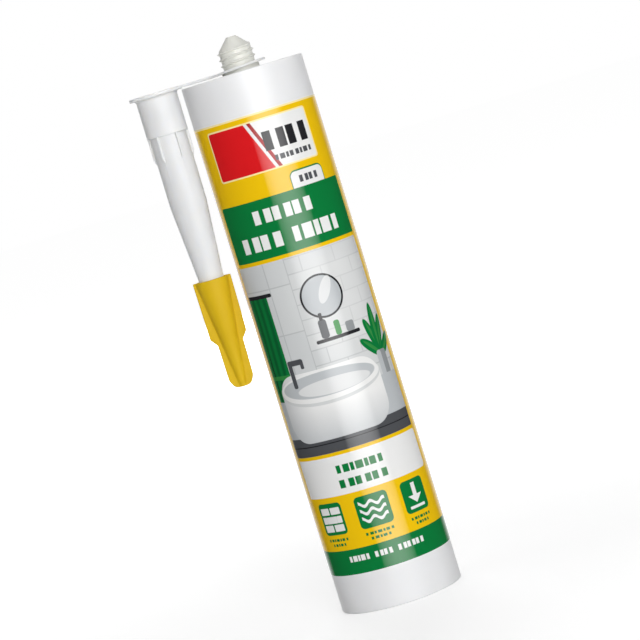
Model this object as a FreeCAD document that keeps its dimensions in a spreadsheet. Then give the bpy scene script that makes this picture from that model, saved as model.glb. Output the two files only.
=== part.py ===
import FreeCAD, Part
import math
import os
import Sketcher

# Sealant cartridge: a stiff hollow tube with a sealed, threaded neck, a push-in piston at its open end,
# and a screw-on nozzle that is stored upside down beside the tube, hung by a strap and ring from the neck.
# Frame: millimetres, +Z up, the cartridge stands on its open end. The origin is on the tube's axis in the
# plane of the open rim, and the stored nozzle hangs on the -X side.

SIZES = {
    # the tube and its closed head
    "tube_length": 217.0,
    "tube_radius": 24.7,
    "tube_wall": 1.25,
    "head_thickness": 1.9,
    "rim_round": 0.4,
    # the collar and the threaded neck on the head
    "collar_radius": 7.65,
    "collar_height": 1.7,
    "neck_radius": 6.45,
    "neck_bore_radius": 4.9,
    "neck_straight": 9.55,
    "neck_height": 14.25,
    "neck_tip_radius": 1.95,
    "neck_tip_bore_radius": 0.9,
    "neck_tip_wall": 1.5,
    "thread_depth": 0.72,
    "thread_pitch": 2.4,
    "thread_height": 7.2,
    "thread_base": 2.5,
    "thread_root_width": 1.5,
    "thread_root_sink": 0.3,
    # the printed film round the tube
    "label_bottom": 15.9,
    "label_top": 200.1,
    "label_film": 0.12,
    "label_clearance": 0.02,
    # the piston in the open end
    "piston_recess": 9.0,
    "piston_length": 20.0,
    "piston_wall": 1.5,
    "piston_floor": 2.0,
    "piston_relief": 0.9,
    "piston_lip_height": 3.0,
    "piston_clearance": 0.1,
    "piston_nose_chamfer": 1.6,
    # the sealant that fills the tube
    "fill_clearance": 0.05,
    "fill_piston_gap": 0.1,
    # the nozzle, its skirt and its fins
    "nozzle_gap": 1.85,
    "nozzle_wall": 1.15,
    "body_radius": 7.4,
    "skirt_radius": 8.35,
    "skirt_end": 17.1,
    "socket_depth": 14.0,
    "socket_clearance": 0.13,
    "body_end": 45.3,
    "shoulder_depth": 78.0,
    "shoulder_radius": 4.94,
    "nozzle_length": 112.0,
    "nozzle_tip_radius": 1.75,
    "nozzle_tip_bore_radius": 0.95,
    "fin_thickness": 0.9,
    "fin_end": 29.1,
    "fin_slope": 3.4,
    "fin_root_overlap": 1.0,
    "fin_count": 6,
    "fin_turn": 3.0,
    # the flange, strap and hanging ring, moulded on the nozzle
    "flange_overhang": 2.4,
    "flange_thickness": 1.4,
    "flange_fillet": 1.2,
    "strap_width": 6.0,
    "strap_thickness": 1.1,
    "strap_overlap": 0.8,
    "ring_radius": 10.4,
    "ring_clearance": 0.3,
    "ring_thickness": 0.95,
    "ring_tilt": 3.7,
    "hang_tilt": 0.4,
    "hang_lift": 1.88,
    # the cap on the nozzle's tip
    "cap_mouth": 76.6,
    "cap_mouth_radius": 6.7,
    "cap_waist": 102.7,
    "cap_waist_radius": 3.5,
    "cap_end": 120.9,
    "cap_end_radius": 2.1,
    "cap_clearance": 0.12,
    "cap_tip_gap": 0.5,
    "wing_thickness": 1.8,
    "wing_top_half": 7.75,
    "wing_step": 99.8,
    "wing_step_half": 7.45,
    "wing_lower_half": 5.2,
    "wing_heel": 116.9,
    "wing_heel_half": 4.95,
    "wing_corner_round": 1.2,
}

doc = FreeCAD.newDocument("sealant_cartridge")
sheet = doc.addObject("Spreadsheet::Sheet", "Sizes")
for row, (alias, value) in enumerate(SIZES.items(), start=1):
    sheet.set(f"A{row}", alias)
    sheet.set(f"B{row}", str(value))
    sheet.setAlias(f"B{row}", alias)
doc.recompute()


def bound(expression):
    """The expression with each size's name pointed at its cell of the sheet."""
    words = expression.replace("(", "( ").replace(")", " )").split()
    return " ".join(f"Sizes.{word}" if word in SIZES else word for word in words)


def value_of(expression):
    """The number that an expression over the sheet's sizes gives."""
    return float(sheet.evalExpression(bound(expression)))


def new_body(label):
    body = doc.addObject("PartDesign::Body", label)
    body.Label = label
    return body


def plane_of(body, role):
    for feature in body.Origin.OriginFeatures:
        if feature.Role == role:
            return feature
    raise ValueError(role)


def new_sketch(body, name, role="XZ_Plane"):
    sketch = body.newObject("Sketcher::SketchObject", name)
    sketch.AttachmentSupport = (plane_of(body, role), [""])
    sketch.MapMode = "FlatFace"
    return sketch


def fix_coordinate(sketch, kind, vertex, expression):
    """Holds one coordinate of a line's start point at a size from the sheet."""
    index = sketch.addConstraint(Sketcher.Constraint(kind, -1, 1, vertex, 1, value_of(expression)))
    sketch.setExpression(f"Constraints[{index}]", bound(expression))


def outline(sketch, corners):
    """Draws a closed outline through corners, each an (across, along) pair of expressions."""
    points = [FreeCAD.Vector(value_of(across), value_of(along), 0) for across, along in corners]
    count = len(points)
    for index in range(count):
        sketch.addGeometry(Part.LineSegment(points[index], points[(index + 1) % count]))
    for index in range(count):
        sketch.addConstraint(Sketcher.Constraint("Coincident", index, 2, (index + 1) % count, 1))
    for index, (across, along) in enumerate(corners):
        fix_coordinate(sketch, "DistanceX", index, across)
        fix_coordinate(sketch, "DistanceY", index, along)


def circle(sketch, across, radius):
    """Draws a circle of a bound radius, centred on the sketch's X axis."""
    centre = FreeCAD.Vector(value_of(across), 0, 0)
    index = sketch.addGeometry(Part.Circle(centre, FreeCAD.Vector(0, 0, 1), value_of(radius)))
    sketch.addConstraint(Sketcher.Constraint("PointOnObject", index, 3, -1))
    place = sketch.addConstraint(Sketcher.Constraint("DistanceX", -1, 1, index, 3, value_of(across)))
    sketch.setExpression(f"Constraints[{place}]", bound(across))
    size = sketch.addConstraint(Sketcher.Constraint("Radius", index, value_of(radius)))
    sketch.setExpression(f"Constraints[{size}]", bound(radius))


def revolved(body, name, corners, kind="PartDesign::Revolution"):
    """Turns a half-section in the XZ plane once round the body's Z axis."""
    sketch = new_sketch(body, name + "_section")
    outline(sketch, corners)
    feature = body.newObject(kind, name)
    feature.Profile = sketch
    feature.ReferenceAxis = (sketch, ["V_Axis"])
    feature.Angle = 360.0
    doc.recompute()
    return feature


def thread(body, name, root, crest, base):
    """Adds a right-hand V thread between two radii, starting in the XZ plane."""
    sketch = new_sketch(body, name + "_section")
    outline(sketch, [
        (root, f"( {base} ) - thread_root_width / 2"),
        (crest, base),
        (root, f"( {base} ) + thread_root_width / 2"),
    ])
    helix = body.newObject("PartDesign::AdditiveHelix", name)
    helix.Profile = sketch
    helix.ReferenceAxis = (sketch, ["V_Axis"])
    helix.Mode = "pitch-height-angle"
    helix.setExpression("Pitch", bound("thread_pitch"))
    helix.setExpression("Height", bound("thread_height"))
    doc.recompute()
    return helix


def round_edges(body, name, radius, wanted):
    """Rounds the edges of the body's last feature that the test picks."""
    doc.recompute()
    last = body.Tip
    edges = [f"Edge{number}" for number, edge in enumerate(last.Shape.Edges, start=1) if wanted(edge)]
    fillet = body.newObject("PartDesign::Fillet", name)
    fillet.Base = (last, edges)
    fillet.setExpression("Radius", bound(radius))
    doc.recompute()
    return fillet


def is_circle(edge, radius, height):
    """Whether an edge is a circle round Z of this radius at this height."""
    curve = edge.Curve
    if not isinstance(curve, Part.Circle):
        return False
    same_radius = abs(curve.Radius - value_of(radius)) < SAME_PLACE
    return same_radius and abs(curve.Center.z - value_of(height)) < SAME_PLACE


SAME_PLACE = 0.01
BORE ="( tube_radius - tube_wall )"
HEAD_UNDERSIDE = "( tube_length - head_thickness )"
THREAD_CREST = "( neck_radius + thread_depth )"
SOCKET_RADIUS = f"( {THREAD_CREST} + socket_clearance )"
PASSAGE_RADIUS = "( body_radius - nozzle_wall )"
FLANGE_RADIUS = "( skirt_radius + flange_overhang )"
RING_HOLE = "( collar_radius + ring_clearance )"
PISTON_FRONT = "( piston_recess + piston_length )"


def build_barrel():
    """The tube, its head and its sealed neck: one hollow moulding, open below."""
    body = new_body("cartridge_barrel")
    revolved(body, "tube", [
        (BORE, "0"),
        ("tube_radius", "0"),
        ("tube_radius", "tube_length"),
        ("collar_radius", "tube_length"),
        ("collar_radius", "tube_length + collar_height"),
        ("neck_radius", "tube_length + collar_height"),
        ("neck_radius", "tube_length + neck_straight"),
        ("neck_tip_radius", "tube_length + neck_height"),
        ("0", "tube_length + neck_height"),
        ("0", "tube_length + neck_height - neck_tip_wall"),
        ("neck_tip_bore_radius", "tube_length + neck_height - neck_tip_wall"),
        ("neck_bore_radius", "tube_length + neck_straight - neck_tip_wall / 2"),
        ("neck_bore_radius", HEAD_UNDERSIDE),
        (BORE, HEAD_UNDERSIDE),
    ])
    round_edges(body, "rounded_rims", "rim_round", lambda edge: any((
        is_circle(edge, "tube_radius", "0"),
        is_circle(edge, "tube_radius", "tube_length"),
        is_circle(edge, "neck_tip_radius", "tube_length + neck_height"),
    )))
    thread(body, "neck_thread", "neck_radius - thread_root_sink", THREAD_CREST, "tube_length + thread_base")
    return body


def build_label():
    """The printed film that is wrapped round the tube, with bare tube above and below it."""
    body = new_body("label_wrap")
    inside = "tube_radius + label_clearance"
    outside = "tube_radius + label_clearance + label_film"
    revolved(body, "film", [
        (inside, "label_bottom"),
        (outside, "label_bottom"),
        (outside, "label_top"),
        (inside, "label_top"),
    ])
    return body


def build_piston():
    """The cup-shaped piston, open downwards, with a sealing lip at each end."""
    body = new_body("piston")
    lip = f"( {BORE} - piston_clearance )"
    waist = f"( {lip} - piston_relief )"
    inside = f"( {waist} - piston_wall )"
    revolved(body, "cup", [
        (inside, "piston_recess"),
        (lip, "piston_recess"),
        (lip, "piston_recess + piston_lip_height"),
        (waist, "piston_recess + piston_lip_height + piston_relief"),
        (waist, f"{PISTON_FRONT} - piston_nose_chamfer - piston_lip_height - piston_relief"),
        (lip, f"{PISTON_FRONT} - piston_nose_chamfer - piston_lip_height"),
        (lip, f"{PISTON_FRONT} - piston_nose_chamfer"),
        (f"{lip} - piston_nose_chamfer", PISTON_FRONT),
        ("0", PISTON_FRONT),
        ("0", f"{PISTON_FRONT} - piston_floor"),
        (inside, f"{PISTON_FRONT} - piston_floor"),
    ])
    return body


def build_sealant():
    """The paste between the piston and the sealed tip of the neck."""
    body = new_body("sealant")
    wall = f"( {BORE} - fill_clearance )"
    neck = "( neck_bore_radius - fill_clearance )"
    revolved(body, "paste", [
        ("0", f"{PISTON_FRONT} + fill_piston_gap"),
        (wall, f"{PISTON_FRONT} + fill_piston_gap"),
        (wall, f"{HEAD_UNDERSIDE} - fill_clearance"),
        (neck, f"{HEAD_UNDERSIDE} - fill_clearance"),
        (neck, "tube_length + neck_straight - neck_tip_wall"),
        ("0", "tube_length + neck_straight - neck_tip_wall"),
    ])
    return body


HANG_OFFSET = "( tube_radius + nozzle_gap + skirt_radius )"
RING_REACH = "( ring_radius - strap_overlap )"
RING_ARM = f"{RING_REACH} * cos( ( ring_tilt - hang_tilt ) * 1 deg )"
STRAP_BEND = f"( ( {HANG_OFFSET} - {RING_ARM} ) / cos( hang_tilt * 1 deg ) )"


def hang(body):
    """Puts a body that is drawn tip up about its own axis where the stored nozzle hangs, tip down."""
    half_tilt = math.radians(value_of("hang_tilt")) / 2
    body.Placement.Rotation = FreeCAD.Rotation(FreeCAD.Vector(math.cos(half_tilt), 0, -math.sin(half_tilt)), 180)
    body.setExpression("Placement.Base.x", bound(f"0 - {HANG_OFFSET}"))
    body.setExpression("Placement.Base.z", bound("tube_length + hang_lift"))


def build_nozzle():
    """The nozzle with its skirt, fins, flange, strap and ring, drawn from the flange's face at zero."""
    body = new_body("nozzle")
    revolved(body, "tapered_tube", [
        (SOCKET_RADIUS, "0"),
        (FLANGE_RADIUS, "0"),
        (FLANGE_RADIUS, "flange_thickness"),
        ("skirt_radius", "flange_thickness"),
        ("skirt_radius", "skirt_end"),
        ("body_radius", "skirt_end"),
        ("body_radius", "body_end"),
        ("shoulder_radius", "shoulder_depth"),
        ("nozzle_tip_radius", "nozzle_length"),
        ("nozzle_tip_bore_radius", "nozzle_length"),
        ("shoulder_radius - nozzle_wall", "shoulder_depth"),
        (PASSAGE_RADIUS, "body_end"),
        (PASSAGE_RADIUS, "socket_depth"),
        (SOCKET_RADIUS, "socket_depth"),
    ])
    round_edges(body, "flange_root", "flange_fillet",
                lambda edge: is_circle(edge, "skirt_radius", "flange_thickness"))

    fin_sketch = new_sketch(body, "fin_outline")
    fin_sketch.AttachmentOffset = FreeCAD.Placement(
        FreeCAD.Vector(0, 0, 0), FreeCAD.Rotation(FreeCAD.Vector(0, 1, 0), -value_of("fin_turn")))
    outline(fin_sketch, [
        ("body_radius - nozzle_wall / 2", "skirt_end - fin_root_overlap"),
        ("skirt_radius", "skirt_end - fin_root_overlap"),
        ("skirt_radius", "fin_end - fin_slope"),
        ("body_radius - nozzle_wall / 2", "fin_end"),
    ])
    fin = body.newObject("PartDesign::Pad", "fin")
    fin.Profile = fin_sketch
    fin.SideType = "Symmetric"
    fin.setExpression("Length", bound("fin_thickness"))
    doc.recompute()
    fins = body.newObject("PartDesign::PolarPattern", "fins")
    fins.Originals = [fin]
    fins.Axis = (fin_sketch, ["V_Axis"])
    fins.Angle = 360.0
    fins.setExpression("Occurrences", bound("fin_count"))
    body.Tip = fins
    doc.recompute()

    strap_sketch = new_sketch(body, "strap_outline", "XY_Plane")
    strap_end = f"{STRAP_BEND} + strap_overlap"
    outline(strap_sketch, [
        ("skirt_radius", "strap_width / 2"),
        ("skirt_radius", "0 - strap_width / 2"),
        (strap_end, "0 - strap_width / 2"),
        (strap_end, "strap_width / 2"),
    ])
    strap = body.newObject("PartDesign::Pad", "strap")
    strap.Profile = strap_sketch
    strap.setExpression("Length", bound("strap_thickness"))
    doc.recompute()

    ring_sketch = new_sketch(body, "ring_outline", "XY_Plane")
    ring_sketch.AttachmentOffset = FreeCAD.Placement(
        FreeCAD.Vector(value_of(STRAP_BEND), 0, 0), FreeCAD.Rotation(FreeCAD.Vector(0, 1, 0), value_of("ring_tilt")))
    circle(ring_sketch, RING_REACH, "ring_radius")
    circle(ring_sketch, RING_REACH, RING_HOLE)
    ring = body.newObject("PartDesign::Pad", "hanging_ring")
    ring.Profile = ring_sketch
    ring.setExpression("Length", bound("ring_thickness"))
    doc.recompute()

    thread(body, "socket_thread", f"{SOCKET_RADIUS} + thread_root_sink", f"{SOCKET_RADIUS} - thread_depth",
           "thread_base")
    hang(body)
    return body


def is_wing_corner(edge):
    """Whether an edge crosses the wings' thickness anywhere below the cap's mouth."""
    start, end = edge.Vertexes[0].Point, edge.Vertexes[-1].Point
    crosses = abs(start.x - end.x) < SAME_PLACE and abs(start.z - end.z) < SAME_PLACE
    return crosses and start.z > value_of("cap_mouth") + SAME_PLACE


def build_cap():
    """The cap on the nozzle's tip: a hollow cone with a flat grip wing on each side, drawn as the nozzle is."""
    body = new_body("nozzle_cap")
    wing_sketch = new_sketch(body, "wing_outline")
    outline(wing_sketch, [
        ("wing_top_half", "cap_mouth"),
        ("wing_step_half", "wing_step"),
        ("wing_lower_half", "cap_waist"),
        ("wing_heel_half", "wing_heel"),
        ("cap_end_radius", "cap_end"),
        ("0 - cap_end_radius", "cap_end"),
        ("0 - wing_heel_half", "wing_heel"),
        ("0 - wing_lower_half", "cap_waist"),
        ("0 - wing_step_half", "wing_step"),
        ("0 - wing_top_half", "cap_mouth"),
    ])
    wings = body.newObject("PartDesign::Pad", "wings")
    wings.Profile = wing_sketch
    wings.SideType = "Symmetric"
    wings.setExpression("Length", bound("wing_thickness"))
    round_edges(body, "wing_corners", "wing_corner_round", is_wing_corner)
    revolved(body, "cone", [
        ("0", "cap_mouth"),
        ("cap_mouth_radius", "cap_mouth"),
        ("cap_waist_radius", "cap_waist"),
        ("cap_end_radius", "cap_end"),
        ("0", "cap_end"),
    ])
    slope = "( ( shoulder_radius - nozzle_tip_radius ) / ( nozzle_length - shoulder_depth ) )"
    mouth_inside = f"shoulder_radius + cap_clearance + {slope} * ( shoulder_depth - cap_mouth )"
    revolved(body, "socket", [
        ("0", "cap_mouth"),
        (mouth_inside, "cap_mouth"),
        ("nozzle_tip_radius + cap_clearance", "nozzle_length"),
        ("nozzle_tip_radius + cap_clearance", "nozzle_length + cap_tip_gap"),
        ("0", "nozzle_length + cap_tip_gap"),
    ], "PartDesign::Groove")
    hang(body)
    return body


NODES = [build_barrel(), build_label(), build_piston(), build_sealant(), build_nozzle(), build_cap()]
doc.recompute()

for item in doc.Objects:
    if "Invalid" in item.State or "Error" in item.State:
        raise RuntimeError(f"{item.Name} failed: {item.State}")
for node in NODES:
    if node.Shape.isNull() or not node.Shape.isValid() or len(node.Shape.Solids) != 1:
        raise RuntimeError(f"{node.Label} is not one valid solid")

os.makedirs("parts", exist_ok=True)
for node in NODES:
    node.Shape.exportStep(f"parts/{node.Label}.step")
    box = node.Shape.BoundBox
    print(f"{node.Label}: {node.Shape.Volume / 1000:.2f} cm3, x {box.XMin:.2f}..{box.XMax:.2f},"
          f" y {box.YMin:.2f}..{box.YMax:.2f}, z {box.ZMin:.2f}..{box.ZMax:.2f}")
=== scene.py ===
"""Looks of a sealant cartridge that stands on its open end, with its nozzle stored beside it.

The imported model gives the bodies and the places. Each shown piece is modelled here in millimetres, is scaled to
metres when it is finished, and rides on its own body.
"""

import logging
import math
from collections.abc import Callable, Iterable, Sequence
from dataclasses import dataclass, field
from enum import Enum
from itertools import pairwise

import bmesh
import bpy
from mathutils import Matrix, Vector


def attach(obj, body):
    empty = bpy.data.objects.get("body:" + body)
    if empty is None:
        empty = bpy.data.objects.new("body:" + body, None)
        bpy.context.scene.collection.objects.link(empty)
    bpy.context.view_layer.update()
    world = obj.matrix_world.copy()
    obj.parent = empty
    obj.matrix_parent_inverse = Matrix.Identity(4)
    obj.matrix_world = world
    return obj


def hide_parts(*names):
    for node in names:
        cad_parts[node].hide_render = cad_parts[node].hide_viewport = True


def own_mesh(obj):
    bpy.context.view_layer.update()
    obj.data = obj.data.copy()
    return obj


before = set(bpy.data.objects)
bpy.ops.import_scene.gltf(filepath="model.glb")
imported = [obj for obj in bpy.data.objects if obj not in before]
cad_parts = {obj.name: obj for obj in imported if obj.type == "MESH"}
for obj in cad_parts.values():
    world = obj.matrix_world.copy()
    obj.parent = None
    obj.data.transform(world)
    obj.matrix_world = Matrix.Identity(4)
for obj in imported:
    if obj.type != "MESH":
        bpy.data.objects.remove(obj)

LOG = logging.getLogger("cartridge")
METRES_PER_MILLIMETRE = 0.001

Point = tuple[float, float]
Triple = tuple[float, float, float]


class Body(Enum):
    """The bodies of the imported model."""

    BARREL = "barrel"
    PISTON = "piston"
    NOZZLE = "nozzle"
    CAP = "cap"


class Slot(Enum):
    """The record's material slots."""

    WHITE = "white_plastic"
    FILM = "printed_film"
    PISTON = "piston_plastic"
    PASTE = "sealant_paste"
    NATURAL = "natural_plastic"
    YELLOW = "yellow_plastic"


# Modelling with operators

@dataclass(frozen=True)
class Corner:
    """A corner of a section, with the radius that rounds it."""

    across: float
    along: float
    rounding: float = 0.0

    @property
    def place(self) -> Vector:
        """The corner as a two-dimensional vector."""
        return Vector((self.across, self.along))


ARC_STEPS = 4
LONGEST_ROUNDED_SHARE = 0.45
SUPPORT_DISTANCE = 0.3
LONG_RUN = 1.2


def rounded(corners: Sequence[Corner], closed: bool, steps: int = ARC_STEPS) -> list[Point]:
    """Rounds the corners of a section.

    Args:
        corners: The section's corners in order.
        closed: Whether the last corner joins the first.
        steps: How many steps go round each corner.

    Returns:
        The points of the rounded section, with a support point near each end of a long run.
    """
    path: list[Vector] = []
    count = len(corners)
    for index, corner in enumerate(corners):
        at_end = not closed and index in (0, count - 1)
        if at_end or not corner.rounding:
            path.append(corner.place)
            continue
        back = corners[index - 1].place - corner.place
        ahead = corners[(index + 1) % count].place - corner.place
        reach = corner.rounding / math.tan(back.angle(ahead) / 2)
        reach = min(reach, LONGEST_ROUNDED_SHARE * back.length, LONGEST_ROUNDED_SHARE * ahead.length)
        start = corner.place + back.normalized() * reach
        end = corner.place + ahead.normalized() * reach
        for step in range(steps + 1):
            share = step / steps
            path.append(start.lerp(corner.place, share).lerp(corner.place.lerp(end, share), share))
    return [tuple(point) for point in supported(path, closed)]


def supported(path: Sequence[Vector], closed: bool) -> list[Vector]:
    """Adds a point near each end of the long runs of a path.

    Args:
        path: The points of the path.
        closed: Whether the last point joins the first.

    Returns:
        The path with its support points.
    """
    result: list[Vector] = []
    following = list(path[1:]) + ([path[0]] if closed else [])
    for start, end in zip(path, following):
        result.append(start)
        run = end - start
        if run.length > LONG_RUN:
            inset = run.normalized() * SUPPORT_DISTANCE
            result.extend((start + inset, end - inset))
    if not closed:
        result.append(path[-1])
    return result


def choose(*pieces: bpy.types.Object) -> None:
    """Selects only these pieces and makes the first one active."""
    bpy.ops.object.select_all(action="DESELECT")
    for piece in pieces:
        piece.select_set(True)
    bpy.context.view_layer.objects.active = pieces[0]


def added(name: str, add: Callable[..., object], **settings: object) -> bpy.types.Object:
    """Adds a primitive and moves its place into its mesh.

    Args:
        name: The name of the new object.
        add: The operator that adds the primitive.
        settings: What the operator takes.

    Returns:
        The new object, which sits at the origin.
    """
    bpy.ops.object.select_all(action="DESELECT")
    add(**settings)
    piece = bpy.context.view_layer.objects.active
    piece.name = name
    piece.data.name = name
    bpy.ops.object.transform_apply(location=True, rotation=True, scale=True)
    return piece


class Bench:
    """Edit mode on one piece, entered with a with statement."""

    def __init__(self, piece: bpy.types.Object) -> None:
        """Takes the piece that is worked on."""
        self.piece = piece

    def __enter__(self) -> "Bench":
        """Enters edit mode with everything selected."""
        choose(self.piece)
        bpy.ops.object.mode_set(mode="EDIT")
        bpy.ops.mesh.select_mode(type="VERT")
        bpy.ops.mesh.select_all(action="SELECT")
        return self

    def __exit__(self, *problem: object) -> None:
        """Leaves edit mode."""
        bpy.ops.object.mode_set(mode="OBJECT")

    def pick(self, wanted: Callable[[Vector], bool]) -> None:
        """Selects the vertices whose place passes a test.

        Args:
            wanted: The test of a vertex's place.
        """
        bpy.ops.mesh.select_all(action="DESELECT")
        cage = bmesh.from_edit_mesh(self.piece.data)
        for vertex in cage.verts:
            if wanted(vertex.co):
                vertex.select_set(True)
        cage.select_flush(True)
        bmesh.update_edit_mesh(self.piece.data)

    def extrude(self, shift: Triple = (0.0, 0.0, 0.0)) -> None:
        """Extrudes what is selected and moves it."""
        bpy.ops.mesh.extrude_region_move(TRANSFORM_OT_translate={"value": shift})

    def move(self, shift: Triple) -> None:
        """Moves what is selected."""
        bpy.ops.transform.translate(value=shift)

    def resize(self, factors: Triple, centre: Triple) -> None:
        """Resizes what is selected about a point."""
        bpy.ops.transform.resize(value=factors, center_override=centre)

    def spin(self, angle: float, steps: int) -> None:
        """Spins what is selected round the upright axis."""
        bpy.ops.mesh.spin(steps=steps, angle=angle, center=(0, 0, 0), axis=(0, 0, 1))

    def fit_loop(self, outline: Sequence[Point], height: float) -> None:
        """Puts the selected loop's vertices on an outline round the axis, both taken in order of angle.

        Args:
            outline: As many points as the loop has vertices.
            height: The height of the loop.
        """
        cage = bmesh.from_edit_mesh(self.piece.data)
        loop = [vertex for vertex in cage.verts if vertex.select]
        loop.sort(key=lambda vertex: math.atan2(vertex.co.y, vertex.co.x))
        for vertex, (across, deep) in zip(loop, sorted(outline, key=lambda point: math.atan2(point[1], point[0]))):
            vertex.co = (across, deep, height)
        bmesh.update_edit_mesh(self.piece.data)

    def weld(self, reach: float = 0.0005) -> None:
        """Merges the vertices that lie together and turns all faces outwards."""
        bpy.ops.mesh.select_all(action="SELECT")
        bpy.ops.mesh.remove_doubles(threshold=reach)
        bpy.ops.mesh.normals_make_consistent(inside=False)


def turned(name: str, section: Sequence[Corner], segments: int, hollow: bool = False) -> bpy.types.Object:
    """Turns a section round the upright axis.

    Args:
        name: The name of the new piece.
        section: The corners of the section, with the radius across and the height along.
        segments: How many faces go round the axis.
        hollow: Whether the section is a closed loop off the axis. Otherwise both ends are closed with a face.

    Returns:
        The turned piece.
    """
    path = rounded(section, closed=hollow)
    radius, height = path[0]
    piece = added(
        name, bpy.ops.mesh.primitive_circle_add, vertices=segments, radius=radius, location=(0, 0, height),
        fill_type="NOTHING" if hollow else "NGON",
    )
    rings = path + path[:1] if hollow else path
    with Bench(piece) as bench:
        for (radius, height), (next_radius, next_height) in pairwise(rings):
            bench.extrude((0, 0, next_height - height))
            if next_radius != radius:
                bench.resize((next_radius / radius, next_radius / radius, 1), (0, 0, next_height))
        bench.weld()
    return piece


def changed(piece: bpy.types.Object, kind: str, **settings: object) -> None:
    """Puts a modifier on a piece and applies it.

    Args:
        piece: The piece that is changed.
        kind: The modifier's type.
        settings: The modifier's settings.
    """
    choose(piece)
    modifier = piece.modifiers.new(kind.title(), kind)
    for name, value in settings.items():
        setattr(modifier, name, value)
    bpy.ops.object.modifier_apply(modifier=modifier.name)


def fused(piece: bpy.types.Object, *others: bpy.types.Object) -> None:
    """Joins other closed pieces to a piece, so that one closed skin is left.

    Args:
        piece: The piece that stays.
        others: The pieces that are used up.
    """
    for other in others:
        changed(piece, "BOOLEAN", operation="UNION", solver="EXACT", object=other)
        bpy.data.objects.remove(other)


def placed(piece: bpy.types.Object, matrix: Matrix) -> None:
    """Moves a piece by a matrix and puts its new place into its mesh."""
    choose(piece)
    piece.matrix_world = matrix
    bpy.ops.object.transform_apply(location=True, rotation=True, scale=True)


@dataclass(frozen=True)
class Thread:
    """A screw thread of one ridge, which runs out into its root at both ends."""

    root: float
    crest: float
    base: float
    pitch: float
    turns: int
    root_width: float = 1.5
    crest_width: float = 0.26
    steps_per_turn: int = 56
    run_out_steps: int = 7

    def build(self, name: str) -> bpy.types.Object:
        """Models the ridge.

        Args:
            name: The name of the new piece.

        Returns:
            The ridge as a closed piece.
        """
        ridge = added(
            name, bpy.ops.mesh.primitive_plane_add, size=1, location=((self.root + self.crest) / 2, 0, self.base),
            rotation=(math.radians(90), 0, 0),
        )
        middle = (self.root + self.crest) / 2
        outward = math.copysign(1, self.crest - self.root)
        with Bench(ridge) as bench:
            bench.resize((abs(self.crest - self.root), 1, self.root_width), (middle, 0, self.base))
            bench.pick(lambda place: outward * (place.x - middle) > 0)
            bench.resize((1, 1, self.crest_width / self.root_width), (self.crest, 0, self.base))
            bpy.ops.mesh.select_all(action="SELECT")
            bpy.ops.mesh.delete(type="ONLY_FACE")
        changed(
            ridge, "SCREW", axis="Z", angle=math.tau, screw_offset=self.pitch, iterations=self.turns,
            steps=self.steps_per_turn, render_steps=self.steps_per_turn, use_merge_vertices=False,
        )
        with Bench(ridge) as bench:
            bench.weld()
            bpy.ops.mesh.fill_holes(sides=4)
            bench.weld()
            for step in range(self.run_out_steps):
                share = (step + 0.3) / self.run_out_steps
                radius = self.root + (self.crest - self.root) * math.sin(share * math.pi / 2)
                for turn in (step / self.steps_per_turn, self.turns - step / self.steps_per_turn):
                    self.pick_crest(bench, turn, middle, outward)
                    factor = radius / self.crest
                    bench.resize((factor, factor, 1), (0, 0, self.base + turn * self.pitch))
        return ridge

    def pick_crest(self, bench: Bench, turn: float, middle: float, outward: float) -> None:
        """Selects the crest's vertices at one place along the ridge.

        Args:
            bench: The ridge in edit mode.
            turn: How many turns along the ridge the place is.
            middle: The radius half way up the ridge.
            outward: 1 where the crest is outside the root, and -1 where it is inside.
        """
        angle = turn * math.tau
        height = self.base + turn * self.pitch
        sector = math.pi / self.steps_per_turn

        def at_place(place: Vector) -> bool:
            """Whether a vertex is on the crest at the place."""
            off = (math.atan2(place.y, place.x) - angle + math.pi) % math.tau - math.pi
            is_crest = outward * (math.hypot(place.x, place.y) - middle) > 0
            return is_crest and abs(off) < sector and abs(place.z - height) < self.crest_width

        bench.pick(at_place)


# Shader maths

class Value:
    """A number socket of a node tree, which operators extend with Math nodes."""

    def __init__(self, graph: "Graph", socket: bpy.types.NodeSocket) -> None:
        """Takes the node tree and the socket."""
        self.graph = graph
        self.socket = socket

    def math(self, operation: str, *others: "Value | float", clamp: bool = False) -> "Value":
        """Adds a Math node on this value.

        Args:
            operation: The node's operation.
            others: The other values or numbers that it takes.
            clamp: Whether the result is kept from 0 to 1.

        Returns:
            The node's result.
        """
        inputs = dict(enumerate((self, *others)))
        node = self.graph.node("ShaderNodeMath", {"operation": operation, "use_clamp": clamp}, inputs)
        return Value(self.graph, node.outputs[0])

    def __add__(self, other: "Value | float") -> "Value":
        """The sum."""
        return self.math("ADD", other)

    __radd__ = __add__

    def __sub__(self, other: "Value | float") -> "Value":
        """The difference."""
        return self.math("SUBTRACT", other)

    def __rsub__(self, other: float) -> "Value":
        """The difference from a number."""
        return self.math("MULTIPLY_ADD", -1.0, other)

    def __mul__(self, other: "Value | float") -> "Value":
        """The product."""
        return self.math("MULTIPLY", other)

    __rmul__ = __mul__

    def __truediv__(self, other: "Value | float") -> "Value":
        """The quotient."""
        return self.math("DIVIDE", other)

    def __neg__(self) -> "Value":
        """The opposite."""
        return self.math("MULTIPLY", -1.0)

    def __abs__(self) -> "Value":
        """The size without its sign."""
        return self.math("ABSOLUTE")

    def clamped(self) -> "Value":
        """The value kept from 0 to 1."""
        return self.math("ADD", 0.0, clamp=True)

    def above(self, edge: float, blur: float) -> "Value":
        """A soft step from 0 to 1 where the value passes an edge."""
        return self.math("MULTIPLY_ADD", 1 / blur, 0.5 - edge / blur, clamp=True)


Colour = Triple


def tint(red: int, green: int, blue: int) -> Colour:
    """The linear colour of a screen colour."""
    return tuple((part / 255 / 12.92) if part <= 10 else ((part / 255 + 0.055) / 1.055) ** 2.4
                 for part in (red, green, blue))


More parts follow.
